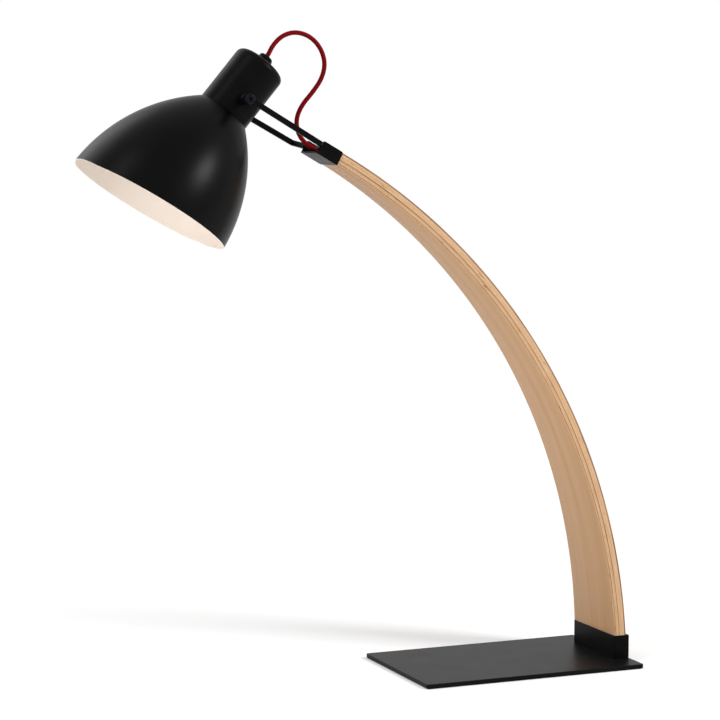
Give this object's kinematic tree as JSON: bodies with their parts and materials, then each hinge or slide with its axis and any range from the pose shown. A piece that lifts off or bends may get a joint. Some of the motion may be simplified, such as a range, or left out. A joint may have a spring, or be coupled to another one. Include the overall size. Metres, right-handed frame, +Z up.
{
  "type": "arched desk lamp",
  "caption": "Desk lamp: arched bent-plywood arm on a flat steel base, a fork at its end, and a bell shade that tilts on two pivot screws.",
  "frame": {"origin": "centre of the underside of the pad under the base plate", "axes": "+Z up; +X along the base towards the arm's foot, so the head is at -X; +Y across the lamp"},
  "size_m": [0.6236, 0.1786, 0.7051],
  "materials": {
    "steel_black": "satin black powder coat",
    "shade_black": "satin black outside, white inside",
    "plywood": "clear-lacquered bent birch plywood",
    "flex_red": "braided red textile",
    "pad": "matt foam rubber",
    "grommet": "matt rubber",
    "screw_black": "black oxide",
    "screw_zinc": "zinc plated",
    "fibre": "matt nylon",
    "holder_plastic": "matt thermoset",
    "holder_insert": "glazed porcelain",
    "brass": "bright",
    "bulb_opal": "opal white",
    "bulb_cap": "nickel plated",
    "bulb_insulator": "black glass"
  },
  "bodies": {
    "stand": {"base_pad": "pad", "base_plate": "steel_black", "arm_shoe": "steel_black", "shoe_screws": "screw_zinc", "arm_screws": "screw_black", "lead_grommet": "grommet", "arm": "plywood", "arm_flex": "flex_red", "fork_bracket": "steel_black", "bracket_screws": "screw_black", "fork_arm_left": "steel_black", "fork_arm_right": "steel_black", "head_flex": "flex_red"},
    "head": {"pivot_screws": "screw_black", "pivot_spacers": "steel_black", "pivot_washers": "fibre", "pivot_nuts": "screw_zinc", "socket_cup": "steel_black", "shade": "shade_black", "holder_cap": "holder_plastic", "holder_body": "holder_plastic", "holder_insert": "holder_insert", "holder_shell": "brass", "holder_contact": "brass", "shade_ring": "holder_plastic", "holder_nipple": "screw_zinc", "nipple_nut": "screw_zinc", "cord_gland": "steel_black", "gland_screw": "screw_black", "bulb_glass": "bulb_opal", "bulb_cap": "bulb_cap", "bulb_insulator": "bulb_insulator", "bulb_contact": "screw_zinc"}
  },
  "joints": [
    {"name": "head_tilt", "type": "hinge", "parent": "stand", "child": "head", "pos_m": [-0.31959, 0, 0.63188], "axis": [0, 1, 0], "range_deg": [-40, 50], "deforming": ["head_flex"]}
  ]
}
